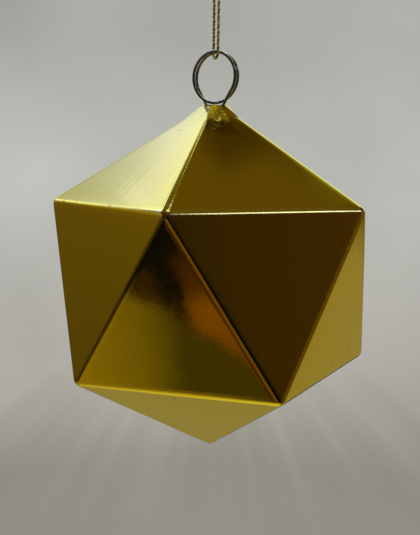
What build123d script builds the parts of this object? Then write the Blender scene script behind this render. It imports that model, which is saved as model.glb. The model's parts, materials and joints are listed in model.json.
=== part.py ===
from build123d import *
import math
import os

# A hollow icosahedral bauble that hangs by a wire ring from a knotted cord.
# Millimetres, +Z up. The origin is the cord's knot, where the whole thing is held, and the
# bauble hangs straight below it. The ring lies in the XZ plane, so its own axis is Y.

# Shells: a regular icosahedron with one corner up
corner_radius = 37.5  # centre to a sharp corner
edge_round = 1.7
wall = 1.3
skin_depth = 0.6  # how much of the wall is the outer layer of the stepped joint
lap_height = 2.4  # how far the lower shell's tongue stands up inside the upper shell
lap_fit = 0.06
seam_gap = 0.1
body_turn = 16.5  # degrees from the ring's own axis to the corner nearest to it

# Neck of the upper shell
flare_depth = 4.1  # the flare starts this far under the sharp top corner
flare_sink = 0.06  # how far its foot lies inside the rounded ridges
rim_depth = 1.1  # the rim lies this far under the sharp top corner
rim_radius = 2.82
mouth_radius = 2.66
mouth_depth = 0.9
bore_radius = 2.3
tube_wall = 0.8
tube_depth = 4.5  # the neck's inner tube ends this far under the sharp top corner

# Hanger wire
wire_radius = 0.3
ring_radius = 5.08  # to the middle of the wire
ring_pitch = 1.2
ring_rise = 0.58  # from the rim up to the lowest point of the ring
leg_spread = 2.2  # half the distance between the legs where they pass the rim
leg_offset = 0.5  # and how far each is from the ring's middle plane there
leg_clear = 2.2  # straight stretch of leg above the rim
waist_depth = 1.9  # under the rim the legs turn outwards again
waist_bend = 1.0
splay_angle = 31.0
splay_length = 11.0
steps_per_turn = 4
straight_angle = 0.01  # a bend of fewer degrees than this is a straight run
gap_samples = 600
near_turns_share = 1.5  # nearer along the wire than this many of its girths is the wire itself

# Cord and knot
cord_radius = 0.3
strand_run = 14.2  # from the knot down to the middle of the ring's top wire
strand_half = 0.55  # half the distance between the strands at the knot
bight_half_width = 1.45  # where each strand passes the ring, along the ring and across it
bight_half_depth = 1.6
bight_drop = 1.2
bight_shoulder = 0.3
bight_turn_share = 0.5
cord_bend = 1.1
cord_clear = 0.25
knot_radius = 1.3
knot_height = 2.6
knot_end = 0.85  # radius of its flat top and bottom
knot_belt = 0.65  # each wrap is widest this far above or below the waist
knot_waist = 1.0
tail_half = 0.42  # half the distance between the tails' roots
tail_sink = 0.3
tail_length = 4.6
tail_angle = 14.0
overrun = 5.0

CORNERS_ROUND = 5
HALF_STEP = 180 / CORNERS_ROUND
# The middles of a facet and of an edge lie these shares of the corner radius from the centre
FACE_SHARE = math.sqrt((5 + 2 * math.sqrt(5)) / 15)
EDGE_SHARE = math.sqrt((5 + math.sqrt(5)) / 10)

# Heights of the main places
knot_foot = -knot_height / 2
ring_top = knot_foot - strand_run
ring_middle = ring_top - ring_radius
rim_level = ring_middle - ring_radius - ring_rise
top_corner = rim_level + rim_depth
body_middle = top_corner - corner_radius


def polar(radius, degrees, height):
    """A point at this distance and direction from the Z axis."""
    angle = math.radians(degrees)
    return Vector(radius * math.cos(angle), radius * math.sin(angle), height)


def corners(radius, lift=0):
    """The top corner, the upper five, the lower five and the bottom corner of an icosahedron."""
    height = radius / math.sqrt(5)
    out = 2 * height
    middle = body_middle + lift
    first = body_turn - 90
    step = 360 / CORNERS_ROUND
    upper = [polar(out, first + step * k, middle + height) for k in range(CORNERS_ROUND)]
    lower = [polar(out, first + HALF_STEP + step * k, middle - height) for k in range(CORNERS_ROUND)]
    return Vector(0, 0, middle + radius), upper, lower, Vector(0, 0, middle - radius)


def solid_of(triangles):
    """A closed solid from its triangular faces."""
    return Solid(Shell([Face(Wire.make_polygon(points)) for points in triangles]))


def upper_facets(radius, lift=0):
    """The five cap facets and the five band facets that hang from the upper ring of corners."""
    top, upper, lower, _ = corners(radius, lift)
    found = []
    for k in range(CORNERS_ROUND):
        after = (k + 1) % CORNERS_ROUND
        found.append([top, upper[k], upper[after]])
        found.append([upper[after], upper[k], lower[k]])
    return found


def lower_facets(radius):
    """The band facets that stand on the lower ring of corners, and the five bottom facets."""
    _, upper, lower, bottom = corners(radius)
    found = []
    for k in range(CORNERS_ROUND):
        after = (k + 1) % CORNERS_ROUND
        found.append([lower[k], lower[after], upper[after]])
        found.append([lower[after], lower[k], bottom])
    return found


def icosahedron(depth):
    """The icosahedron whose facets lie this deep under those of the sharp outside."""
    radius = corner_radius - depth / FACE_SHARE
    return solid_of(upper_facets(radius) + lower_facets(radius))


def upper_sector(lift):
    """All that lies inside the upper facets' angles as seen from the centre, moved up by lift.

    Its underside is the zigzag of ten flat triangles that the two shells meet on.
    """
    reach = corner_radius + overrun
    _, upper, lower, _ = corners(reach, lift)
    centre = Vector(0, 0, body_middle + lift)
    zigzag = []
    for k in range(CORNERS_ROUND):
        after = (k + 1) % CORNERS_ROUND
        zigzag.append([centre, upper[k], lower[k]])
        zigzag.append([centre, lower[k], upper[after]])
    return solid_of(upper_facets(reach, lift) + zigzag)


def neck_flare():
    """The top corner drawn up from five ridges into a round rim."""
    start = top_corner - flare_depth
    rounded_off = edge_round * (EDGE_SHARE / FACE_SHARE - 1) + flare_sink
    ridge = (flare_depth * EDGE_SHARE - rounded_off) / math.sqrt(1 - EDGE_SHARE**2)
    points = [polar(ridge, body_turn - 90 + 2 * HALF_STEP * k, start) for k in range(CORNERS_ROUND)]
    foot = Face(Wire.make_polygon(points))
    rim_plane = Plane((0, 0, rim_level), x_dir=polar(1, body_turn - 90, 0))
    rim = rim_plane * Circle(rim_radius)
    return loft([foot, rim.face()], ruled=True)


def neck_bore():
    """The way down through the neck: a funnel mouth over a straight bore."""
    profile = Polyline(
        (0, rim_level + overrun),
        (mouth_radius, rim_level + overrun),
        (mouth_radius, rim_level),
        (bore_radius, rim_level - mouth_depth),
        (bore_radius, top_corner - tube_depth - overrun),
        (0, top_corner - tube_depth - overrun),
        close=True,
    )
    return revolve(Plane.XZ * make_face(profile), Axis.Z)


def neck_tube():
    """The short tube that the neck's bore goes down through, inside the shell."""
    length = tube_depth - flare_depth / 2
    return Pos(0, 0, top_corner - tube_depth) * Cylinder(
        bore_radius + tube_wall, length, align=(Align.CENTER, Align.CENTER, Align.MIN)
    )


def make_shells():
    """The two half shells, which lap over each other all along the zigzag."""
    outside = offset(icosahedron(edge_round), edge_round, kind=Kind.ARC)
    step = icosahedron(skin_depth)
    step_inside = icosahedron(skin_depth + lap_fit)
    hollow = icosahedron(wall)
    bore = neck_bore()
    upper = (outside - hollow) & upper_sector(lap_height)
    upper += (outside - step) & upper_sector(0)
    upper += neck_flare()
    upper += neck_tube()
    upper -= bore
    lower = (outside - hollow) - upper_sector(-seam_gap)
    lower += (step_inside - hollow) - upper_sector(lap_height)
    return upper, lower


def biarc(start, start_way, end, end_way):
    """Two arcs that leave start along start_way and reach end along end_way."""
    across = end - start
    ways = start_way + end_way
    spread = 2 * (1 - start_way.dot(end_way))
    along = across.dot(ways)
    reach = (math.sqrt(along**2 + spread * across.dot(across)) - along) / spread
    near = start + start_way * reach
    far = end - end_way * reach
    middle = (near + far) * 0.5
    return [
        TangentArc(start, middle, tangent=start_way),
        TangentArc(middle, end, tangent=far - near),
    ]


def half_turn(vector):
    """The same place on the wire's other half, which is the first one turned half round Z."""
    return Vector(-vector.X, -vector.Y, vector.Z)


def wire_stations():
    """Points and directions along the wire, from one foot to the other."""
    rim = Vector(leg_spread, -leg_offset, rim_level)
    to_rim = math.hypot(leg_spread, ring_middle - rim_level)
    start_angle = math.atan2(leg_spread, ring_middle - rim_level) + math.acos(ring_radius / to_rim)
    turned = 4 * math.pi - 2 * start_angle
    rise = ring_pitch / (2 * math.pi)

    def on_coil(angle):
        round_to = start_angle + angle
        place = Vector(
            ring_radius * math.sin(round_to),
            rise * (angle - turned / 2),
            ring_middle - ring_radius * math.cos(round_to),
        )
        way = Vector(ring_radius * math.cos(round_to), rise, ring_radius * math.sin(round_to))
        return place, way.normalized()

    coil_start, _ = on_coil(0)
    leg_way = (coil_start - rim).normalized()
    waist = rim - leg_way * (waist_depth / leg_way.Z)
    splay = math.radians(splay_angle)
    foot_way = Vector(-math.sin(splay), 0, math.cos(splay))
    foot = waist - foot_way * splay_length
    bend_reach = waist_bend * math.tan(math.radians(leg_way.get_angle(foot_way)) / 2)
    first = [
        (foot, foot_way),
        (waist - foot_way * bend_reach, foot_way),
        (waist + leg_way * bend_reach, leg_way),
        (rim + leg_way * leg_clear, leg_way),
    ]
    count = round(turned / (2 * math.pi) * steps_per_turn)
    coil = [on_coil(turned * k / count) for k in range(count + 1)]
    last = [(half_turn(place), -half_turn(way)) for place, way in reversed(first)]
    return first + coil + last


def wire_path():
    """Straight legs and biarcs through the wire's stations."""
    stations = wire_stations()
    edges = []
    for (start, start_way), (end, end_way) in zip(stations, stations[1:]):
        if start_way.get_angle(end_way) < straight_angle:
            edges.append(Line(start, end))
        else:
            edges += biarc(start, start_way, end, end_way)
    return Wire(edges), stations[0]


def least_gap(path, radius):
    """The smallest distance between two stretches of a tube that are not next to each other."""
    points = [path.position_at(k / gap_samples) for k in range(gap_samples + 1)]
    apart = path.length / gap_samples
    near = int(near_turns_share * 2 * math.pi * radius / apart)
    least = math.inf
    for i, one in enumerate(points):
        for other in points[i + near :]:
            least = min(least, (one - other).length)
    return least - 2 * radius


def tube(path, start, way, radius):
    """A round wire or cord along a path, with its volume compared with section times length."""
    made = sweep(Plane(origin=start, z_dir=way) * Circle(radius), path=path)
    expected = math.pi * radius**2 * path.length
    print(f"tube length {path.length:.2f}, volume over section times length {made.volume / expected:.4f}")
    return made


def make_hanger():
    """The wire ring with its two legs, which pass the neck and splay out under it."""
    path, (start, way) = wire_path()
    print(f"hanger wire: least gap to itself {least_gap(path, wire_radius):.2f}")
    return tube(path, start, way, wire_radius)


def make_cord():
    """One cord from the knot down, under the ring's two wires and back up to the knot.

    It passes the ring at a slant: the right strand in front of the wires, the left one behind.
    """
    strand_top = knot_foot - cord_clear
    low = ring_top - bight_drop
    inner_width = bight_half_width * bight_turn_share
    inner_depth = bight_half_depth * bight_turn_share
    first = [
        Vector(strand_half, 0, strand_top),
        Vector(bight_half_width, -bight_half_depth, ring_top - bight_shoulder),
        Vector(inner_width, -inner_depth, low),
    ]
    route = first + [half_turn(point) for point in reversed(first)]
    radii = [cord_bend] * (len(route) - 2)
    print("cord radii", radii)
    path = FilletPolyline(*route, radius=radii)
    return tube(path.wire(), route[0], route[1] - route[0], cord_radius)


def make_knot():
    """The knot, pulled tight: two wraps, with the cord's two cut ends standing out of its top."""
    half = knot_height / 2
    wrap = [(knot_end, half), (knot_radius, knot_belt)]
    mirrored = [(out, -height) for out, height in reversed(wrap)]
    profile = Polyline((0, half), *wrap, (knot_waist, 0), *mirrored, (0, -half), close=True)
    knot = revolve(Plane.XZ * make_face(profile), Axis.Z)
    for side in (1, -1):
        root = Pos(side * tail_half, 0, half - tail_sink)
        tail = Cylinder(cord_radius, tail_length, align=(Align.CENTER, Align.CENTER, Align.MIN))
        knot += root * Rot(0, side * tail_angle, 0) * tail
    return knot


os.makedirs("parts", exist_ok=True)
upper_shell, lower_shell = make_shells()
parts = {
    "upper_shell": upper_shell,
    "lower_shell": lower_shell,
    "hanger_ring": make_hanger(),
    "hanging_cord": make_cord(),
    "cord_knot": make_knot(),
}
for name, part in parts.items():
    export_step(part, f"parts/{name}.step")
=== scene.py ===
import json
import math

import bpy
from mathutils import Matrix, Vector


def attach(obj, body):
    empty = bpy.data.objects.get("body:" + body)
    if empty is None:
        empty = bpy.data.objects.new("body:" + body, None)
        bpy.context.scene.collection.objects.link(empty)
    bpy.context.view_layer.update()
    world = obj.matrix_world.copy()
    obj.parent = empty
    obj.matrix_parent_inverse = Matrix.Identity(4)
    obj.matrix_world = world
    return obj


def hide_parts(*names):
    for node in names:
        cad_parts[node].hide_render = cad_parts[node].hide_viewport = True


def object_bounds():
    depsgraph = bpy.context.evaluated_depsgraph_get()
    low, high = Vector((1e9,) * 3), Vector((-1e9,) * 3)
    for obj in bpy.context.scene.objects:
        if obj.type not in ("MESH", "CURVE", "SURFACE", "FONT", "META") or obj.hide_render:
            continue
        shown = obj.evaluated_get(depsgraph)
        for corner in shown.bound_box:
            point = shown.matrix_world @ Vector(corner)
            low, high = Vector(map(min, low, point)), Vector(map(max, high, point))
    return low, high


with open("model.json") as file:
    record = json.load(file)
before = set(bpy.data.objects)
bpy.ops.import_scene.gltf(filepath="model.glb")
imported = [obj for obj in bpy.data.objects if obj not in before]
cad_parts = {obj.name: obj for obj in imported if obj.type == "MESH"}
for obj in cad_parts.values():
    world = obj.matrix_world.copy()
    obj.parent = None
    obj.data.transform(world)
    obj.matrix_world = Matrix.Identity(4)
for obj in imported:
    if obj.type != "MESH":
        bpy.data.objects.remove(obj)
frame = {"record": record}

cad_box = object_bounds()

MM = 0.001
PHOTO_HEIGHT = 535

# The bauble's own frame, worked out from the facet that it rests on
MOUNTS = {mount["name"]: mount for mount in frame["record"]["mounts"]}
REST_POINT = Vector(MOUNTS["rest_facet"]["pos_m"])
REST_AXIS = Vector(MOUNTS["rest_facet"]["axis"])
INRADIUS = REST_POINT.x / REST_AXIS.x
BODY_MIDDLE = Vector((0, 0, REST_POINT.z - INRADIUS * REST_AXIS.z))
CORNER_RADIUS = INRADIUS / -REST_AXIS.z
RING_HEIGHT = CORNER_RADIUS / math.sqrt(5)
BODY_TURN = math.degrees(math.atan2(REST_AXIS.y, REST_AXIS.x)) + 90
EYE_MIDDLE = Vector(MOUNTS["hanger_eye"]["pos_m"])


def direction(azimuth, elevation):
    """A unit vector: azimuth 0 is -Y and 90 is +X, both in degrees."""
    a, e = math.radians(azimuth), math.radians(elevation)
    return Vector((math.sin(a) * math.cos(e), -math.cos(a) * math.cos(e), math.sin(e)))


def new_object(name, data):
    """A new object, linked to the scene."""
    made = bpy.data.objects.new(name, data)
    bpy.context.scene.collection.objects.link(made)
    return made


# Camera

CAMERA_DISTANCE = 0.14998
CAMERA_AZIMUTH = 30.47
CAMERA_ELEVATION = 10.06
VIEW_AZIMUTH = 30.66
VIEW_ELEVATION = 9.10
VIEW_ROLL = 0.91
FOCAL_PIXELS = 698.1
SENSOR = 36.0
CLIP_NEAR, CLIP_FAR = 1 * MM, 100


def make_camera():
    """The photograph's own viewpoint: just above the bauble's middle, tilted slightly down."""
    data = bpy.data.cameras.new("camera")
    data.sensor_fit = "VERTICAL"
    data.sensor_width = SENSOR
    data.sensor_height = SENSOR
    data.lens = SENSOR * FOCAL_PIXELS / PHOTO_HEIGHT
    data.clip_start = CLIP_NEAR
    data.clip_end = CLIP_FAR
    camera = new_object("camera", data)
    place = BODY_MIDDLE + direction(CAMERA_AZIMUTH, CAMERA_ELEVATION) * CAMERA_DISTANCE
    turn = Matrix.Rotation(math.radians(VIEW_AZIMUTH), 4, "Z")
    tilt = Matrix.Rotation(math.radians(90 - VIEW_ELEVATION), 4, "X")
    roll = Matrix.Rotation(math.radians(VIEW_ROLL), 4, "Z")
    camera.matrix_world = Matrix.Translation(place) @ turn @ tilt @ roll
    bpy.context.scene.camera = camera


# Shader helper

# Most of a noise's values lie between these
NOISE_SPAN = (0.3, 0.7)


class Shader:
    """Builds a node tree from short calls, most of which return an output socket."""

    def __init__(self, tree):
        self.tree = tree
        tree.nodes.clear()

    def node(self, kind, inputs=None, **settings):
        made = self.tree.nodes.new(kind)
        for key, value in settings.items():
            setattr(made, key, value)
        for key, value in (inputs or {}).items():
            self.put(made.inputs[key], value)
        return made

    def put(self, socket, value):
        """Links a socket to an input, or sets the input to a constant."""
        if isinstance(value, bpy.types.NodeSocket):
            self.tree.links.new(value, socket)
        else:
            if socket.type == "RGBA" and len(value) == 3:
                value = (*value, 1)
            socket.default_value = value

    def math(self, operation, *values):
        inputs = dict(enumerate(values))
        return self.node("ShaderNodeMath", inputs, operation=operation).outputs[0]

    def product(self, first, *others):
        for other in others:
            first = self.math("MULTIPLY", first, other)
        return first

    def pile(self, start, layers):
        """A start with layers added to it, which are pairs of a value and what it is multiplied by."""
        for value, by in layers:
            start = self.math("MULTIPLY_ADD", value, by, start)
        return start

    def vector(self, operation, *values, output=0, scale=None):
        inputs = dict(enumerate(values))
        if scale is not None:
            inputs["Scale"] = scale
        return self.node("ShaderNodeVectorMath", inputs, operation=operation).outputs[output]

    def dot(self, first, second):
        return self.vector("DOT_PRODUCT", first, second, output="Value")

    def length(self, vector):
        return self.vector("LENGTH", vector, output="Value")

    def split(self, vector):
        return self.node("ShaderNodeSeparateXYZ", {0: vector}).outputs

    def combine(self, *parts):
        return self.node("ShaderNodeCombineXYZ", dict(enumerate(parts))).outputs[0]

    def smooth(self, value, low, high, to_low=0.0, to_high=1.0):
        """A smooth step from to_low, where value is at low, to to_high, where it is at high."""
        inputs = {0: value, 1: low, 2: high, 3: to_low, 4: to_high}
        return self.node("ShaderNodeMapRange", inputs, interpolation_type="SMOOTHSTEP").outputs[0]

    def linear(self, value, low, high, to_low=0.0, to_high=1.0):
        """The same with a straight slope."""
        inputs = {0: value, 1: low, 2: high, 3: to_low, 4: to_high}
        return self.node("ShaderNodeMapRange", inputs).outputs[0]

    def spread(self, noise, to_low=0.0, to_high=1.0):
        """A noise's values, spread from to_low to to_high."""
        return self.linear(noise, *NOISE_SPAN, to_low, to_high)

    def mix(self, share, first, second):
        """The first colour where share is 0 and the second where it is 1."""
        inputs = {0: share, 6: first, 7: second}
        return self.node("ShaderNodeMix", inputs, data_type="RGBA").outputs[2]

    def multiply_colours(self, first, second):
        inputs = {0: 1.0, 6: first, 7: second}
        made = self.node("ShaderNodeMix", inputs, data_type="RGBA", blend_type="MULTIPLY")
        return made.outputs[2]

    def mix_vectors(self, share, first, second):
        """The first vector where share is 0 and the second where it is 1."""
        inputs = {0: share, 4: first, 5: second}
        return self.node("ShaderNodeMix", inputs, data_type="VECTOR").outputs[1]

    def ramp(self, value, stops):
        """Colours joined by value. Stops are pairs of a value and a colour, in rising order."""
        low, high = stops[0][0], stops[-1][0]
        made = self.node("ShaderNodeValToRGB", {0: self.linear(value, low, high)})
        elements = made.color_ramp.elements
        for place, _ in stops[1:-1]:
            elements.new((place - low) / (high - low))
        for element, (_, colour) in zip(elements, stops):
            element.color = (*colour, 1)
        return made.outputs[0]

    def noise(self, vector, scale, detail=2.0, roughness=0.5, output="Fac"):
        inputs = {"Vector": vector, "Scale": scale, "Detail": detail, "Roughness": roughness}
        return self.node("ShaderNodeTexNoise", inputs).outputs[output]

    def bump(self, height, distance, normal=None):
        inputs = {"Height": height, "Distance": distance, "Strength": 1.0}
        if normal is not None:
            inputs["Normal"] = normal
        return self.node("ShaderNodeBump", inputs).outputs[0]

    def principled(self, inputs):
        return self.node("ShaderNodeBsdfPrincipled", inputs).outputs[0]

    def finish(self, surface, kind="ShaderNodeOutputMaterial"):
        """Shows this surface, or in a world this background."""
        self.put(self.node(kind).inputs["Surface"], surface)


def new_material(name, shader=Shader):
    """A material and the shader that builds its nodes."""
    material = bpy.data.materials.new(name)
    material.use_nodes = True
    return material, shader(material.node_tree)


# Surroundings

# Ramps: pairs of an angle in degrees and the colour that is seen there
BACKDROP = [
    (-32, (0.262, 0.244, 0.206)),
    (-24.6, (0.292, 0.276, 0.230)),
    (-17, (0.430, 0.415, 0.375)),
    (-4, (0.500, 0.500, 0.465)),
    (8, (0.420, 0.425, 0.395)),
]
LEFT_WALL = [
    (-30, (0.050, 0.034, 0.024)),
    (-20, (0.062, 0.043, 0.030)),
    (-8, (0.090, 0.066, 0.030)),
    (0, (0.102, 0.078, 0.030)),
    (6, (0.122, 0.090, 0.035)),
    (12, (0.180, 0.140, 0.060)),
    (18, (0.260, 0.210, 0.100)),
    (24, (0.300, 0.260, 0.160)),
]
FRONT_FLOOR = [
    (-14, (0.245, 0.185, 0.060)),
    (-10, (0.190, 0.144, 0.050)),
    (-7, (0.150, 0.116, 0.040)),
    (-5.3, (0.104, 0.085, 0.030)),
    (-3.3, (0.046, 0.040, 0.022)),
    (0, (0.046, 0.040, 0.020)),
    (6, (0.050, 0.040, 0.020)),
]
DEEP_FLOOR = [
    (-74, (0.640, 0.620, 0.420)),
    (-66, (0.520, 0.480, 0.320)),
    (-58, (0.360, 0.310, 0.200)),
    (-48, (0.260, 0.205, 0.120)),
    (-42, (0.220, 0.160, 0.090)),
]
ORANGE_THING = [
    (-38, (0.130, 0.050, 0.004)),
    (-36, (0.165, 0.066, 0.003)),
    (-33.5, (0.190, 0.075, 0.002)),
    (-32.6, (0.140, 0.056, 0.003)),
    (-31.6, (0.070, 0.028, 0.004)),
    (-29.8, (0.048, 0.019, 0.004)),
    (-28, (0.012, 0.006, 0.004)),
]
RIGHT_WALL = [
    (58, (0.018, 0.011, 0.014)),
    (70, (0.026, 0.017, 0.018)),
    (76, (0.037, 0.022, 0.020)),
    (87, (0.049, 0.027, 0.026)),
    (93, (0.078, 0.049, 0.035)),
    (101, (0.110, 0.070, 0.040)),
    (126, (0.110, 0.068, 0.040)),
    (136, (0.125, 0.085, 0.050)),
    (148, (0.240, 0.200, 0.100)),
    (158, (0.300, 0.262, 0.125)),
]
BEHIND = [
    (-8, (0.580, 0.640, 0.500)),
    (5, (0.700, 0.820, 0.720)),
    (25, (0.780, 0.930, 0.800)),
    (38, (0.740, 0.860, 0.700)),
    (48, (0.580, 0.660, 0.480)),
    (57, (0.330, 0.350, 0.200)),
]
# The window's glass, which its glow multiplies
WINDOW = [
    (5, (0.045, 0.035, 0.012)),
    (12, (0.050, 0.042, 0.014)),
    (17, (0.085, 0.085, 0.030)),
    (21, (0.165, 0.180, 0.070)),
    (24.5, (0.300, 0.350, 0.140)),
    (27, (0.205, 0.236, 0.110)),
    (30, (0.265, 0.322, 0.250)),
    (32.5, (0.325, 0.400, 0.360)),
    (34.8, (0.455, 0.560, 0.560)),
    (36.5, (0.505, 0.620, 0.520)),
]
GLOW_LEFT = (2.0, 2.0, 6.0)
GLOW_MIDDLE = (2.35, 2.35, 6.6)
GLOW_RIGHT = (4.6, 4.7, 26.0)
MIDDLE_STARTS = (-116.0, -112.0)
RIGHT_STARTS = (-109.0, -96.0)

# Plain colours of the room, roughly in the order in which they are laid
ROOM_DARK = (0.040, 0.026, 0.024)
RIGHT_SILL = (0.160, 0.115, 0.050)
REAR_FLOOR = (0.290, 0.265, 0.140)
CEILING = (0.115, 0.082, 0.022)
CEILING_DIM = (0.085, 0.059, 0.016)
CEILING_DARK = (0.052, 0.034, 0.010)
ABOVE_WINDOW = (0.080, 0.070, 0.035)
ABOVE_BEHIND = (0.360, 0.340, 0.140)
WINDOW_HEAD = (0.150, 0.150, 0.085)
WINDOW_LOW_LEFT = (0.50, 0.62, 0.40)
WINDOW_SPOT = (0.92, 1.12, 3.7)
LIGHT_STRIP = (2.0, 2.15, 3.6)
OVERHEAD = (0.9, 0.92, 0.95)
OVERHEAD_PANEL = (1.5, 1.6, 1.8)
BROWN_THING = (0.028, 0.0145, 0.008)
SHADOW = (0.0038, 0.0044, 0.0180)
ROUND_BROWN = (0.048, 0.021, 0.005)
ROUND_ORANGE = (0.155, 0.066, 0.004)
ROUND_OLIVE = (0.140, 0.088, 0.010)

# Ways across a line
RIGHT, UP, LEFT, DOWN = 0, 90, 180, -90

# The light strip's dashes: scale and detail of the noise, the levels where it turns light, and where
# and how far the gaps fill up
DASHES = (0.9, 1.0)
DASH_LEVELS = (0.42, 0.55)
GAPS_FILL = (80.0, 85.0)
GAPS_FILL_SHARE = 0.42

# How ragged the things low in front are: scale, detail and roughness of the noise, and degrees
RAGGED = (60.0, 2.5, 0.62)
RAGGED_BY = 0.55

# The line that the front facet's reflection ends at, on its right: a place on it and its way across
RIGHT_LINE = (-3.4, -25.1)
RIGHT_WAY = 31.6

# Behind the object, as the camera sees it: soft spots by azimuth, elevation, size and how much
# brighter, then the clouds and the rays
BACKDROP_SPOTS = [
    (224.5, -1.0, 8.0, 0.13),
    (192.0, 4.0, 11.0, 0.10),
    (228.0, 12.0, 9.0, -0.16),
    (214.0, 10.0, 7.0, -0.04),
    (227.0, -12.0, 7.0, -0.06),
    (216.0, -21.0, 8.0, 0.09),
]
CLOUDS = (5.0, 3.0)
CLOUD_LEVELS = (0.95, 1.05)
RAYS_FROM = (210.5, -9.0)
RAYS = (5.5, 2.0, 0.7)
RAYS_START = (4.0, 14.0)
RAYS_STRENGTH = 0.10


class Surroundings(Shader):
    """What the mirror facets look at, laid out by azimuth and elevation in degrees."""

    def __init__(self, tree):
        super().__init__(tree)
        self.way = self.node("ShaderNodeTexCoord").outputs["Generated"]
        x, y, z = self.split(self.way)
        minus_y = self.math("MULTIPLY", y, -1.0)
        self.azimuth = self.math("DEGREES", self.math("ARCTAN2", x, minus_y))
        self.elevation = self.math("DEGREES", self.math("ARCSINE", z))
        self.colour = ROOM_DARK

    def ruffle(self):
        """Makes the edges of what is laid from now on uneven."""
        noise = self.noise(self.way, *RAGGED, output="Color")
        shifts = [self.spread(part, -RAGGED_BY, RAGGED_BY) for part in self.split(noise)]
        self.azimuth = self.math("ADD", self.azimuth, shifts[0])
        self.elevation = self.math("ADD", self.elevation, shifts[1])

    def across(self, azimuth):
        """Degrees to the right of an azimuth, or to its left if negative."""
        return self.math("WRAP", self.math("SUBTRACT", self.azimuth, azimuth), 180.0, -180.0)

    def up(self, elevation):
        """Degrees above an elevation."""
        return self.math("SUBTRACT", self.elevation, elevation)

    def past(self, azimuth, elevation, toward, soft):
        """1 on one side of a straight line through a place and 0 on the other.

        Toward is the way across the line: 0 to the right, 90 up.
        """
        a = math.radians(toward)
        sideways = self.math("MULTIPLY", self.across(azimuth), math.cos(a))
        distance = self.math("MULTIPLY_ADD", self.up(elevation), math.sin(a), sideways)
        return self.smooth(distance, -soft / 2, soft / 2)

    def around(self, azimuth, half, soft):
        """1 within half degrees of an azimuth, fading over soft degrees."""
        aside = self.math("ABSOLUTE", self.across(azimuth))
        return self.smooth(aside, half - soft / 2, half + soft / 2, 1.0, 0.0)

    def between(self, low, high, soft):
        """1 between two elevations."""
        above = self.smooth(self.elevation, low - soft / 2, low + soft / 2)
        below = self.smooth(self.elevation, high - soft / 2, high + soft / 2, 1.0, 0.0)
        return self.product(above, below)

    def beside(self, low, high, soft):
        """1 in a strip beside the right line, between two distances from it."""
        a = math.radians(RIGHT_WAY)
        near, far = [
            (RIGHT_LINE[0] + by * math.cos(a), RIGHT_LINE[1] + by * math.sin(a))
            for by in (low, high)
        ]
        first = self.past(*near, RIGHT_WAY, soft)
        last = self.past(*far, RIGHT_WAY + 180, soft)
        return self.product(first, last)

    def spot(self, azimuth, elevation, size, more):
        """A soft round spot of this much in its middle, that fades out at size degrees from it."""
        across, up = self.across(azimuth), self.up(elevation)
        squared = self.math("MULTIPLY_ADD", across, across, self.math("MULTIPLY", up, up))
        return self.smooth(self.math("SQRT", squared), 0.0, size, more, 0.0)

    def rays(self, azimuth, elevation):
        """Faint rays that spread down from a point."""
        down = self.math("SUBTRACT", elevation, self.elevation)
        way = self.math("ARCTAN2", self.across(azimuth), down)
        fan = self.noise(self.combine(way), *RAYS)
        strength = self.smooth(down, *RAYS_START)
        return self.product(self.spread(fan, -RAYS_STRENGTH, RAYS_STRENGTH), strength)

    def by_azimuth(self, stops):
        return self.ramp(self.azimuth, stops)

    def by_elevation(self, stops):
        return self.ramp(self.elevation, stops)

    def cover(self, colour, *masks):
        """Lays a colour over what is there, where all the masks are 1."""
        self.colour = self.mix(self.product(*masks), self.colour, colour)


def lay_walls(room):
    """The walls to the left and right, with a sill far right."""
    left, right = room.by_elevation(LEFT_WALL), room.by_azimuth(RIGHT_WALL)
    room.cover(left, room.around(-100, half=56, soft=24), room.between(-60, 30, soft=10))
    room.cover(right, room.around(118, half=62, soft=6), room.between(-60, 27, soft=6))
    room.cover(RIGHT_SILL, room.around(158, half=22, soft=10), room.between(-13, 2, soft=5))


def lay_floor(room):
    """The floor on the left, at the rear and straight down."""
    deep = room.by_elevation(DEEP_FLOOR)
    room.cover(deep, room.past(0, -33, DOWN, soft=8), room.around(-62, half=62, soft=20))
    room.cover(REAR_FLOOR, room.around(-145, half=32, soft=20), room.between(-57, -35, soft=6))
    room.cover(deep, room.past(0, -57, DOWN, soft=5))


def lay_ceiling(room):
    """The ceiling, and the pale backdrop behind the bauble."""
    room.cover(CEILING, room.past(0, 51, UP, soft=6))
    dim = room.past(165, 58.3, toward=-73, soft=3.5)
    room.cover(CEILING_DIM, dim, room.around(172, half=25, soft=8), room.between(50, 66, soft=4))
    behind = room.by_elevation(BEHIND)
    room.cover(behind, room.around(197, half=34, soft=14), room.between(-8, 56, soft=5))
    room.cover(CEILING_DARK, room.around(179, half=7, soft=8), room.between(58, 63.5, soft=3))
    room.cover(ABOVE_WINDOW, room.around(-127, half=17, soft=10), room.between(44.5, 61, soft=3))
    room.cover(ABOVE_BEHIND, room.around(-146, half=9, soft=8), room.between(61.5, 66, soft=2.5))


def lay_window(room):
    """The window on the left, brightest high up and to its right."""
    glow = room.mix(room.smooth(room.azimuth, *MIDDLE_STARTS), GLOW_LEFT, GLOW_MIDDLE)
    glow = room.mix(room.smooth(room.azimuth, *RIGHT_STARTS), glow, GLOW_RIGHT)
    glass = room.multiply_colours(room.by_elevation(WINDOW), glow)
    right_side = room.past(-92, 28, toward=230, soft=9)
    slope = room.past(-121.5, 44, toward=225, soft=7)
    top_side = room.math("MAXIMUM", slope, room.between(3, 38, soft=3))
    bottom_side = room.past(0, 3, UP, soft=3)
    room.cover(WINDOW_HEAD, room.around(-127, half=12, soft=10), room.between(40, 58, soft=6))
    room.cover(glass, right_side, top_side, bottom_side, room.around(-116, half=29, soft=8))
    room.cover(WINDOW_LOW_LEFT, room.around(-128, half=15, soft=8), room.between(-2, 24, soft=6))
    room.cover(WINDOW_SPOT, room.spot(-115.4, 34.2, size=3.0, more=1.0))


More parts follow.
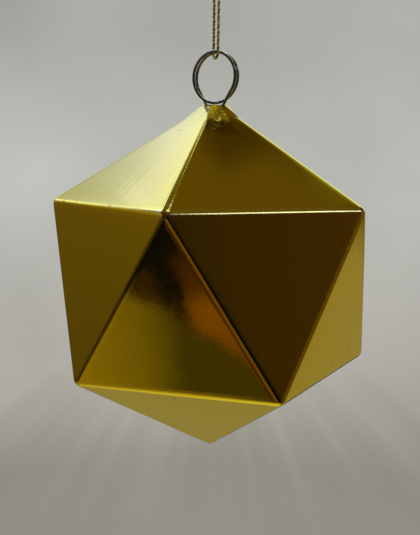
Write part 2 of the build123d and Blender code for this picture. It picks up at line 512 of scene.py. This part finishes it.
def lay_lights(room):
    """A broken strip of light on the right, and soft light overhead."""
    dashes = room.smooth(room.noise(room.combine(room.azimuth), *DASHES), *DASH_LEVELS)
    gaps = room.smooth(room.azimuth, *GAPS_FILL, 0.0, GAPS_FILL_SHARE)
    broken = room.math("MAXIMUM", dashes, gaps)
    starts, ends = room.past(78, 38, RIGHT, soft=5), room.past(98, 38, LEFT, soft=5)
    room.cover(LIGHT_STRIP, starts, ends, room.between(31, 43, soft=4), broken)
    room.cover(OVERHEAD, room.past(0, 78, UP, soft=4))
    room.cover(OVERHEAD_PANEL, room.around(-152, half=24, soft=8), room.between(72, 84, soft=4))


def lay_low_front(room):
    """Low in front: brown, black and orange things on an olive floor."""
    room.ruffle()
    olive = room.by_azimuth(FRONT_FLOOR)
    room.cover(olive, room.between(-42, -29.5, soft=3.5), room.around(-2, half=22, soft=14))
    edge = room.past(-2, -34.7, toward=59.9, soft=0.45)
    ahead = room.past(-9.5, -30, RIGHT, soft=2.5)
    room.cover(BROWN_THING, edge, ahead, room.past(12, -30, LEFT, soft=6))

    upper_left = room.past(-48, -3, toward=53.6, soft=1.6)
    above_brown = room.past(-4.4, -30.15, toward=73.3, soft=0.35)
    low = room.past(4, -18, DOWN, soft=6)
    room.cover(SHADOW, upper_left, above_brown, room.around(4, half=54, soft=6), low)

    here = room.around(0, half=16, soft=6)
    right_of_brown = room.past(-5.0, -31, toward=12, soft=0.9)
    above_floor = room.past(-2, -33.9, toward=62, soft=1.0)
    room.cover(SHADOW, right_of_brown, above_floor, room.between(-38, -25, soft=2), here)
    right_of_black = room.past(-2.7, -31, toward=14.9, soft=0.6)
    orange = room.by_elevation(ORANGE_THING)
    room.cover(orange, right_of_black, edge, room.between(-40, -28, soft=1), here)


def lay_beside_right_line(room):
    """What the rounded edge on the front facet's right sweeps over, from the right line outwards."""
    room.cover(ROUND_BROWN, room.beside(1.0, 6.0, soft=1.0), room.between(-48, -12, soft=6))
    room.cover(ROUND_ORANGE, room.beside(6.0, 20, soft=3), room.between(-48, -12, soft=8))
    room.cover(ROUND_OLIVE, room.beside(18, 29, soft=4), room.between(-48, -12, soft=8))
    room.cover(SHADOW, room.beside(31, 62, soft=5), room.between(-34, 22, soft=6))


def backdrop_colour(room):
    """A pale cloudy wall that fades to a floor with faint rays."""
    level = room.spread(room.noise(room.way, *CLOUDS), *CLOUD_LEVELS)
    for spot in BACKDROP_SPOTS:
        level = room.math("ADD", level, room.spot(*spot))
    level = room.math("ADD", level, room.rays(*RAYS_FROM))
    return room.vector("SCALE", room.by_elevation(BACKDROP), scale=level)


def make_world():
    """A pale backdrop for the camera, and for the mirror facets the room that they look at."""
    world = bpy.data.worlds.new("surroundings")
    world.use_nodes = True
    bpy.context.scene.world = world
    room = Surroundings(world.node_tree)
    backdrop = backdrop_colour(room)
    lay_walls(room)
    lay_floor(room)
    lay_ceiling(room)
    lay_window(room)
    lay_lights(room)
    lay_low_front(room)
    lay_beside_right_line(room)
    seen = room.node("ShaderNodeLightPath").outputs["Is Camera Ray"]
    colour = room.mix(seen, room.colour, backdrop)
    background = room.node("ShaderNodeBackground", {"Color": colour, "Strength": 1.0})
    room.finish(background.outputs[0], "ShaderNodeOutputWorld")


# Floor

FLOOR_DROP = 0.16
FLOOR_RADIUS = 0.60
FLOOR_SOLID = 0.08
FLOOR_CLEAR_SHARE = 0.8
FLOOR_SIDES = 48
FLOOR_CLOUDS = (9.0, 3.0)
FLOOR_DARK = (0.250, 0.235, 0.200)
FLOOR_PALE = (0.270, 0.254, 0.216)


def floor_material():
    """Pale cloth that turns clear towards its rim."""
    material, made = new_material("floor")
    where = made.node("ShaderNodeTexCoord").outputs["Object"]
    cloud = made.spread(made.noise(where, *FLOOR_CLOUDS))
    cloth = made.node("ShaderNodeBsdfDiffuse", {"Color": made.mix(cloud, FLOOR_DARK, FLOOR_PALE)})
    clear = made.node("ShaderNodeBsdfTransparent")
    far = made.length(made.vector("MULTIPLY", where, (1, 1, 0)))
    share = made.smooth(far, FLOOR_SOLID, FLOOR_RADIUS * FLOOR_CLEAR_SHARE)
    both = {0: share, 1: cloth.outputs[0], 2: clear.outputs[0]}
    made.finish(made.node("ShaderNodeMixShader", both).outputs[0])
    return material


def make_floor():
    """A pale floor, well below the hanging bauble, that fades into the backdrop."""
    low = cad_box[0].z - FLOOR_DROP
    corners = [direction(360 * k / FLOOR_SIDES, 0) * FLOOR_RADIUS for k in range(FLOOR_SIDES)]
    face = tuple(reversed(range(FLOOR_SIDES)))
    mesh = bpy.data.meshes.new("floor")
    mesh.from_pydata([(c.x, c.y, low) for c in corners], [], [face])
    mesh.materials.append(floor_material())
    floor = new_object("floor", mesh)
    floor.visible_glossy = False


# Lamps

OVERHEAD_LAMP_PLACE = BODY_MIDDLE + Vector((0.2, 0.1, 0.9))
KEY_LAMP_PLACE = BODY_MIDDLE + direction(-35, 42) * 0.6


def make_lamp(name, place, target, size, power, colour):
    """A soft square lamp that lights the floor and the cord but isn't mirrored in the facets."""
    data = bpy.data.lights.new(name, "AREA")
    data.size = size
    data.energy = power
    data.color = colour
    lamp = new_object(name, data)
    lamp.location = place
    lamp.rotation_mode = "QUATERNION"
    lamp.rotation_quaternion = (place - target).to_track_quat("Z", "Y")
    lamp.visible_camera = False
    lamp.visible_glossy = False


# Gold

GOLD = (0.90, 0.69, 0.022)
GOLD_DEEP = (0.88, 0.665, 0.020)
GOLD_WORN = (0.66, 0.46, 0.02)
# Darker gold for the painted shade below the neck
GOLD_SHADED = (0.56, 0.36, 0.008)
GOLD_THIN = (0.93, 0.82, 0.21)
SPECK = (0.22, 0.14, 0.02)

# Corners and facets repeat round the axis by this turn
FIFTH = 360 / 5

# Azimuths of the cap facet that faces front, of its left part and of the ridge on its right
FRONT_CAP = BODY_TURN + FIFTH / 2
FRONT_LEFT = BODY_TURN + 10
RIGHT_RIDGE = BODY_TURN + FIFTH

# How squarely a place has to lie towards them: cosines between which a mask turns
TOWARD_FRONT = (0.74, 0.84)
TOWARD_LEFT = (0.77, 0.86)
TOWARD_RIDGE = (0.90, 0.96)

# Distances between which a mask turns, in millimetres from the nearest edge
EDGE_BAND = (0.25, 1.0)
PILLOW_BAND = (0.45, 1.35)
# The same from the top corner
NECK_ENDS = (3.6, 5.6)
WORN_ENDS = (3.5, 11.0)
FRONT_NECK_ENDS = (5.8, 8.0)
RUBBING_STARTS = (5.0, 8.0)
# Where the painted shade below the neck starts and ends
NECK_SHADE_STARTS = (7.3, 8.3)
NECK_SHADE_ENDS = (10, 13)
# The same from the bauble's axis
FLARE_STARTS = (2.7, 3.3)
FLARE_ENDS = (6.5, 7.5)
# The same above the bauble's middle
CAP_STARTS = (16, 20)
RUBBING_RISES = (0.0, 12)
# The same above or below the upper ring of corners
LEVEL_EDGE_ENDS = (1.2, 2.2)

# Noises: scale, detail and, where it isn't the usual one, roughness
WAVE = (75.0, 1.0)
PEEL = (1000.0, 2.0)
GRAIN = (2300.0, 1.0)
DENTS = (1500.0, 2.0)
STREAKS = (1.0, 3.0, 0.6)
CRINKLE = (1.0, 1.0)
TONE = (45.0, 2.0)
CHIPS = (900.0, 2.0)
SPECKS = (700.0, 3.0, 0.65)
SCRATCHES = (1.0, 2.0)

# How far some of them are squeezed: streaks and crinkles by turn, distance out and height,
# scratches along X, Y and Z
STREAK_LAY = (22.0, 40.0, 40.0)
CRINKLE_LAY = (3.5, 300.0, 60.0)
SCRATCH_LAY = (150.0, 1800.0, 700.0)

# How high each of them stands, and a facet above its edges, in millimetres
WAVE_HEIGHT = 0.012
PEEL_HEIGHT = 0.0018
GRAIN_HEIGHT = 0.0010
DENT_HEIGHT = 0.009
STREAK_HEIGHT = 0.011
CRINKLE_HEIGHT = 0.18
PILLOW_HEIGHT = 0.013

# Levels of a noise between which its mark turns from none to full
TONE_LEVELS = (0.35, 0.65)
CHIP_LEVELS = (0.60, 0.68)
SPECK_LEVELS = (0.70, 0.74)
SCRATCH_LEVELS = (0.73, 0.77)

# How strong the finish and the painted shade below the neck are in places
FRONT_STREAKS_SHARE = 0.3
SIDE_CRINKLES_SHARE = 0.12
RIDGE_THIN_SHARE = 0.5
NECK_SHADE_SHARE = 0.8
SCRATCH_SHARE = 0.5

GOLD_ROUGHNESS = (0.045, 0.075)
FRONT_NECK_ROUGHER = 0.24
WORN_ROUGHER = 0.10
CHIPS_ROUGHER = 0.12
SPECKS_ROUGHER = 0.3
SCRATCHES_ROUGHER = 0.2

# Small dents beside the neck, in millimetres: places from the bauble's middle and how deep they are,
# then how wide they reach and the way in which they are pressed
NECK_DIMPLES = [(3.14, -2.26, 34.55, 0.22), (3.26, -4.25, 33.55, 0.15)]
DIMPLE_RADIUS = 0.75
DIMPLE_WAY = direction(BODY_TURN + 14, 10)

# The angle between the axes of two neighbouring facets
EDGE_ANGLE = math.acos(math.sqrt(5) / 3)


def icosahedron_corners():
    """The top corner and the two rings of five, from the bauble's middle."""
    up = Vector((0, 0, RING_HEIGHT))
    upper = [direction(BODY_TURN + FIFTH * k, 0) * 2 * RING_HEIGHT + up for k in range(5)]
    lower = [direction(FRONT_CAP + FIFTH * k, 0) * 2 * RING_HEIGHT - up for k in range(5)]
    return Vector((0, 0, CORNER_RADIUS)), upper, lower


def facet_axes():
    """The axes of the cap facets and of the band facets below them, one for each opposite pair."""
    top, upper, lower = icosahedron_corners()
    caps, bands = [], []
    for k in range(5):
        after = (k + 1) % 5
        cap = (upper[k] - top).cross(upper[after] - top)
        band = (upper[k] - upper[after]).cross(lower[k] - upper[after])
        caps.append(cap.normalized())
        bands.append(band.normalized())
    return caps, bands


class GoldShader(Shader):
    """A shader that knows where a place lies on the bauble. Its masks run from 0 to 1."""

    def __init__(self, tree):
        super().__init__(tree)
        self.caps, self.bands = facet_axes()
        self.where = self.node("ShaderNodeTexCoord").outputs["Object"]
        self.place = self.vector("SUBTRACT", self.where, tuple(BODY_MIDDLE))
        self.x, self.y, self.z = self.split(self.place)
        self.out = self.length(self.vector("MULTIPLY", self.place, (1, 1, 0)))
        self.from_top = self.length(self.vector("SUBTRACT", self.place, (0, 0, CORNER_RADIUS)))
        self.edge = self.from_edge()
        self.beside_edge = self.falling(self.edge, EDGE_BAND)
        self.cap = self.rising(self.z, CAP_STARTS)
        self.aside = self.smooth(self.toward(FRONT_CAP), *TOWARD_FRONT, 1.0, 0.0)
        self.leftward = self.smooth(self.toward(FRONT_LEFT), *TOWARD_LEFT)

        high = self.rising(self.z, RUBBING_RISES)
        off_neck = self.rising(self.from_top, RUBBING_STARTS)
        self.rubbed = self.product(self.beside_edge, high, off_neck)
        self.peel = self.noise(self.where, *PEEL)
        chips = self.smooth(self.noise(self.where, *CHIPS), *CHIP_LEVELS)
        self.chips = self.product(chips, self.rubbed)
        self.specks = self.smooth(self.noise(self.where, *SPECKS), *SPECK_LEVELS)
        scratches = self.noise(self.vector("MULTIPLY", self.place, SCRATCH_LAY), *SCRATCHES)
        self.scratches = self.smooth(scratches, *SCRATCH_LEVELS)

    def rising(self, distance, span):
        """0 before a span of millimetres and 1 past it."""
        return self.smooth(distance, span[0] * MM, span[1] * MM)

    def falling(self, distance, span):
        """1 before a span of millimetres and 0 past it."""
        return self.smooth(distance, span[0] * MM, span[1] * MM, 1.0, 0.0)

    def toward(self, azimuth):
        """How squarely a place lies towards an azimuth: the cosine of the angle between them."""
        way = direction(azimuth, 0)
        reach = self.math("MULTIPLY_ADD", self.x, way.x, self.math("MULTIPLY", self.y, way.y))
        return self.math("DIVIDE", reach, self.out)

    def by_side(self, front, aside):
        """One value on the side that faces front and another on the others."""
        return self.linear(self.aside, 0.0, 1.0, front, aside)

    def from_edge(self):
        """How far a place is from the nearest edge, in metres."""
        nearest = second = 0.0
        for axis in self.caps + self.bands:
            reach = self.math("ABSOLUTE", self.dot(self.place, tuple(axis)))
            second = self.math("MAXIMUM", second, self.math("MINIMUM", nearest, reach))
            nearest = self.math("MAXIMUM", nearest, reach)
        spread = self.math("SUBTRACT", nearest, second)
        return self.math("DIVIDE", spread, math.sin(EDGE_ANGLE))

    def from_line(self, point, way):
        """How far a place is from a line through a point."""
        beyond = self.vector("SUBTRACT", self.place, tuple(point))
        along = self.vector("SCALE", tuple(way), scale=self.dot(beyond, tuple(way)))
        return self.length(self.vector("SUBTRACT", beyond, along))

    def flare_normal(self):
        """The normal, with the neck's flare shaded as its facet is, but not on the front side."""
        own = self.node("ShaderNodeNewGeometry").outputs["Normal"]
        nearest, facet = 0.0, (0, 0, 1)
        for axis in self.caps:
            reach = self.dot(self.place, tuple(axis))
            nearer = self.math("GREATER_THAN", reach, nearest)
            facet = self.mix_vectors(nearer, facet, tuple(axis))
            nearest = self.math("MAXIMUM", nearest, reach)
        made = self.node(
            "ShaderNodeVectorTransform",
            {0: facet},
            vector_type="NORMAL",
            convert_from="OBJECT",
            convert_to="WORLD",
        )
        starts = self.rising(self.out, FLARE_STARTS)
        ends = self.falling(self.out, FLARE_ENDS)
        share = self.product(starts, ends, self.aside, self.cap)
        return self.vector("NORMALIZE", self.mix_vectors(share, own, made.outputs[0]))

    def relief(self):
        """How high the surface stands, in metres: from long waves to creases at the neck."""
        fan = self.combine(self.math("ARCTAN2", self.y, self.x), self.out, self.z)
        streaks = self.noise(self.vector("MULTIPLY", fan, STREAK_LAY), *STREAKS)
        drawn = self.product(self.cap, self.by_side(FRONT_STREAKS_SHARE, 1.0))
        crinkle = self.noise(self.vector("MULTIPLY", fan, CRINKLE_LAY), *CRINKLE)
        neck = self.falling(self.from_top, NECK_ENDS)
        creased = self.product(neck, self.by_side(1.0, SIDE_CRINKLES_SHARE))
        layers = [
            (self.noise(self.where, *WAVE), WAVE_HEIGHT * MM),
            (self.peel, PEEL_HEIGHT * MM),
            (self.noise(self.where, *GRAIN), GRAIN_HEIGHT * MM),
            (self.product(streaks, drawn), STREAK_HEIGHT * MM),
            (self.product(self.noise(self.where, *DENTS), self.rubbed), DENT_HEIGHT * MM),
            (self.product(crinkle, creased), CRINKLE_HEIGHT * MM),
        ]
        for *dimple, depth in NECK_DIMPLES:
            far = self.from_line(Vector(dimple) * MM, DIMPLE_WAY)
            dent = self.product(self.falling(far, (0, DIMPLE_RADIUS)), self.cap)
            layers.append((dent, -depth * MM))
        layers.append((self.rising(self.edge, PILLOW_BAND), PILLOW_HEIGHT * MM))
        return self.pile(0.0, layers)

    def thin_lacquer(self):
        """Where the lacquer is thin: on the front's level edge and, by half, on the right ridge."""
        from_ring = self.math("ABSOLUTE", self.math("SUBTRACT", self.z, RING_HEIGHT))
        level = self.product(self.falling(from_ring, LEVEL_EDGE_ENDS), self.by_side(1.0, 0.0))
        ridge = self.smooth(self.toward(RIGHT_RIDGE), *TOWARD_RIDGE, 0.0, RIDGE_THIN_SHARE)
        ridge = self.product(ridge, self.cap)
        return self.product(self.math("MAXIMUM", level, ridge), self.beside_edge)

    def colour(self):
        tone = self.linear(self.noise(self.where, *TONE), *TONE_LEVELS)
        # Painted shade: darker gold in a band below the neck, on the front's left part
        starts = self.rising(self.from_top, NECK_SHADE_STARTS)
        ends = self.falling(self.from_top, NECK_SHADE_ENDS)
        shade_under_neck = self.product(starts, ends, self.leftward, self.by_side(NECK_SHADE_SHARE, 0.0))
        coats = [
            (tone, GOLD_DEEP),
            (self.chips, GOLD_WORN),
            (self.thin_lacquer(), GOLD_THIN),
            (shade_under_neck, GOLD_SHADED),
            (self.specks, SPECK),
            (self.product(self.scratches, SCRATCH_SHARE), GOLD_WORN),
        ]
        colour = GOLD
        for share, coat in coats:
            colour = self.mix(share, colour, coat)
        return colour

    def roughness(self):
        front_neck = self.falling(self.from_top, FRONT_NECK_ENDS)
        front_neck = self.product(front_neck, self.leftward, self.by_side(1.0, 0.0))
        layers = [
            (front_neck, FRONT_NECK_ROUGHER),
            (self.falling(self.from_top, WORN_ENDS), WORN_ROUGHER),
            (self.chips, CHIPS_ROUGHER),
            (self.specks, SPECKS_ROUGHER),
            (self.scratches, SCRATCHES_ROUGHER),
        ]
        return self.pile(self.spread(self.peel, *GOLD_ROUGHNESS), layers)


def gold_material():
    """Moulded plastic, vacuum-metallised to a mirror and lacquered lemon gold."""
    material, made = new_material("mirror_gold", GoldShader)
    inputs = {
        "Base Color": made.colour(),
        "Metallic": 1.0,
        "Roughness": made.roughness(),
        "Normal": made.bump(made.relief(), 1.0, made.flare_normal()),
    }
    made.finish(made.principled(inputs))
    return material


# Wire

WIRE_DARK = (0.38, 0.38, 0.33)
WIRE_PALE = (0.60, 0.60, 0.52)
# Painted highlight: the wire's colour where it faces up
WIRE_PAINTED_HIGHLIGHT = (0.92, 0.92, 0.86)
# Specular tint: painted shade on the rims where the wire doesn't face up, painted highlight where it
# does
RIM_PAINTED_SHADE = (0.34, 0.34, 0.32)
RIM_PAINTED_HIGHLIGHT = (1.0, 1.0, 1.0)
WIRE_ROUGHNESS = (0.22, 0.14)

# How squarely the wire has to face up to take the painted highlight: cosines between which it turns
FACES_UP = (0.30, 0.75)

# Noises by scale and detail, the stain's levels, and how high the drawing marks are in millimetres
STAIN = (700.0, 3.0)
STAIN_LEVELS = (0.35, 0.7)
DRAWN = (6000.0, 2.0)
DRAWN_HEIGHT = 0.004


def wire_material():
    """Drawn spring wire, smoked dark, with a painted highlight where it faces up and painted shade on
    its rims elsewhere.
    """
    material, made = new_material("hanger_steel")
    coordinates = made.node("ShaderNodeTexCoord").outputs
    where, normal = coordinates["Object"], coordinates["Normal"]
    stain = made.noise(where, *STAIN)
    # Painted highlight on the upward-facing side, as if lit from above
    up = made.smooth(made.dot(normal, (0, 0, 1)), *FACES_UP)
    colour = made.mix(made.linear(stain, *STAIN_LEVELS), WIRE_DARK, WIRE_PALE)
    inputs = {
        "Base Color": made.mix(up, colour, WIRE_PAINTED_HIGHLIGHT),
        "Metallic": 1.0,
        "Specular Tint": made.mix(up, RIM_PAINTED_SHADE, RIM_PAINTED_HIGHLIGHT),
        "Roughness": made.spread(stain, *WIRE_ROUGHNESS),
        "Normal": made.bump(made.noise(where, *DRAWN), DRAWN_HEIGHT * MM),
    }
    made.finish(made.principled(inputs))
    return material


# Cord

# Each ply's film, at its darkest and at its palest
BRIGHT_FILM = ((0.30, 0.24, 0.012), (0.86, 0.78, 0.22))
DARK_FILM = ((0.09, 0.055, 0.004), (0.34, 0.26, 0.03))
FILM_METALLIC = 0.5
FILM_ROUGHNESS = 0.30

# The film's noise by scale and detail, and its height in millimetres
FLAKE = (4500.0, 3.0)
FLAKE_HEIGHT = 0.04

PLY_RADIUS = 0.165 * MM
PLY_OFFSET = 0.145 * MM
LAY = 1.5 * MM
SPACING = 0.075 * MM
PLY_SIDES = 10

# The ring's top and the cord's route round it, in millimetres from the knot's middle
CORD_ROUTE = [
    (0.55, 0, -1.55),
    (1.36, -1.42, -12.2),
    (1.45, -1.6, -15.8),
    (0.725, -0.8, -16.7),
    (-0.725, 0.8, -16.7),
    (-1.45, 1.6, -15.8),
    (-1.36, 1.42, -12.2),
    (-0.55, 0, -1.55),
]
ROUTE_ORDER = 3
ROUTE_STEPS = 40


def cord_material(name, low, high):
    """Metallised film wound round a ply, between two colours."""
    material, made = new_material(name)
    flake = made.noise(made.node("ShaderNodeTexCoord").outputs["Object"], *FLAKE)
    inputs = {
        "Base Color": made.mix(made.spread(flake), low, high),
        "Metallic": FILM_METALLIC,
        "Roughness": FILM_ROUGHNESS,
        "Normal": made.bump(flake, FLAKE_HEIGHT * MM),
    }
    made.finish(made.principled(inputs))
    return material


def along_spline(points):
    """Points of the smooth spline that these millimetre control points give."""
    curve = bpy.data.curves.new("route", "CURVE")
    curve.dimensions = "3D"
    curve.resolution_u = ROUTE_STEPS
    spline = curve.splines.new("NURBS")
    spline.points.add(len(points) - 1)
    for point, place in zip(spline.points, points):
        point.co = (*(Vector(place) * MM), 1)
    spline.order_u = ROUTE_ORDER
    spline.use_endpoint_u = True
    holder = bpy.data.objects.new("route", curve)
    mesh = bpy.data.meshes.new_from_object(holder)
    found = [vertex.co.copy() for vertex in mesh.vertices]
    bpy.data.objects.remove(holder)
    bpy.data.curves.remove(curve)
    bpy.data.meshes.remove(mesh)
    return found


def even_points(points, spacing):
    """The same line with its points this far apart."""
    lengths = [0]
    for before, after in zip(points, points[1:]):
        lengths.append(lengths[-1] + (after - before).length)
    count = max(2, round(lengths[-1] / spacing))
    found = []
    place = 0
    for k in range(count + 1):
        wanted = lengths[-1] * k / count
        while place < len(points) - 2 and lengths[place + 1] < wanted:
            place += 1
        step = lengths[place + 1] - lengths[place]
        share = (wanted - lengths[place]) / step if step else 0
        found.append(points[place].lerp(points[place + 1], min(max(share, 0), 1)))
    return found


def sides_along(points):
    """Two axes across the line at each point, turning as little as they can."""
    ways = []
    for k in range(len(points)):
        before = points[max(k - 1, 0)]
        after = points[min(k + 1, len(points) - 1)]
        ways.append((after - before).normalized())
    side = ways[0].orthogonal().normalized()
    found = []
    for way in ways:
        side = (side - way * side.dot(way)).normalized()
        found.append((side, way.cross(side)))
    return found


def turned(side, other, angle):
    """A unit vector across a line, turned this far from one side axis towards the other."""
    return side * math.cos(angle) + other * math.sin(angle)


def add_tube(vertices, faces, centres, radius, sides):
    """Adds a capped round tube along these centres."""
    start = len(vertices)
    for centre, (side, other) in zip(centres, sides_along(centres)):
        for k in range(sides):
            vertices.append(centre + turned(side, other, 2 * math.pi * k / sides) * radius)
    for row in range(len(centres) - 1):
        here = start + row * sides
        for k in range(sides):
            after = (k + 1) % sides
            faces.append((here + k, here + after, here + sides + after, here + sides + k))
    last = start + (len(centres) - 1) * sides
    faces.append(tuple(start + k for k in reversed(range(sides))))
    faces.append(tuple(last + k for k in range(sides)))


def two_ply(vertices, faces, tones, points):
    """Adds two plies twisted round a line, each in its own tone."""
    line = even_points(points, SPACING)
    across = sides_along(line)
    for ply in range(2):
        centres = []
        for k, (point, (side, other)) in enumerate(zip(line, across)):
            angle = math.pi * ply + 2 * math.pi * k * SPACING / LAY
            centres.append(point + turned(side, other, angle) * PLY_OFFSET)
        add_tube(vertices, faces, centres, PLY_RADIUS, PLY_SIDES)
        tones.extend([ply] * (len(faces) - len(tones)))
    return line


def new_piece(name, vertices, faces, tones, materials, body):
    """A smooth mesh piece that rides on a body, each face in the material that its tone picks."""
    mesh = bpy.data.meshes.new(name)
    mesh.from_pydata([tuple(v) for v in vertices], [], faces)
    mesh.polygons.foreach_set("use_smooth", [True] * len(mesh.polygons))
    for material in materials:
        mesh.materials.append(material)
    mesh.polygons.foreach_set("material_index", tones)
    mesh.validate()
    piece = new_object(name, mesh)
    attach(piece, body)
    return piece


def make_cord(materials):
    """The cord from the knot down, through the ring and back up to the knot."""
    vertices, faces, tones = [], [], []
    line = two_ply(vertices, faces, tones, along_spline(CORD_ROUTE))
    piece = new_piece("cord", vertices, faces, tones, materials, "cord")
    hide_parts("hanging_cord")
    return piece, line


# Knot

# The overhand knot is the polynomial trefoil, drawn in by these shares and read this far each way
KNOT_SHARES = (0.36, 0.36, 0.085)
KNOT_REACH = 2.06
KNOT_SAMPLES = 120

# In millimetres: how far each strand lies off the middle, and its tail's points from where it leaves
STRAND_SHIFT = 0.3
TAIL_BEND = (0.2, 0, 1.4)
TAIL_END = (0.9, 0, 3.6)


def knot_point(t):
    """A point of the polynomial trefoil, which is an overhand knot between its two open ends."""
    x = (t ** 3 - 3 * t) * KNOT_SHARES[0]
    y = (t ** 4 - 4 * t ** 2 + 2) * KNOT_SHARES[1]
    z = (t ** 5 - 10 * t) * KNOT_SHARES[2]
    return Vector((x, y, z)) * MM


def on_side(place, side):
    """A place in millimetres, or with side -1 its mirror image on the other side."""
    x, y, z = place
    return Vector((side * x, y, z)) * MM


def make_knot(materials):
    """Both ends of the cord tied together in one overhand knot, with two short cut tails."""
    vertices, faces, tones = [], [], []
    for side in (1, -1):
        shift = on_side((STRAND_SHIFT, 0, 0), side)
        points = [on_side(CORD_ROUTE[0], side)]
        for k in range(KNOT_SAMPLES + 1):
            t = -KNOT_REACH + 2 * KNOT_REACH * k / KNOT_SAMPLES
            points.append(knot_point(t) + shift)
        leaves = points[-1]
        points.append(leaves + on_side(TAIL_BEND, side))
        points.append(leaves + on_side(TAIL_END, side))
        two_ply(vertices, faces, tones, points)
    piece = new_piece("knot", vertices, faces, tones, materials, "held_end")
    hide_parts("cord_knot")
    return piece


# Putting it together

def dress(node, material):
    """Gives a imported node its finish."""
    shown = bpy.data.objects[node]
    shown.data.materials.clear()
    shown.data.materials.append(material)


bpy.context.scene.view_settings.view_transform = "Standard"
make_camera()
make_world()
make_floor()
make_lamp(
    "overhead",
    OVERHEAD_LAMP_PLACE,
    BODY_MIDDLE,
    size=1.2,
    power=14.0,
    colour=(1.0, 0.98, 0.94),
)
make_lamp("key", KEY_LAMP_PLACE, EYE_MIDDLE, size=0.3, power=2.0, colour=(1.0, 1.0, 0.96))

gold = gold_material()
steel = wire_material()
films = [
    cord_material("cord_film_bright", *BRIGHT_FILM),
    cord_material("cord_film_dark", *DARK_FILM),
]
dress("upper_shell", gold)
dress("lower_shell", gold)
dress("hanger_ring", steel)
knot = make_knot(films)
cord, cord_line = make_cord(films)
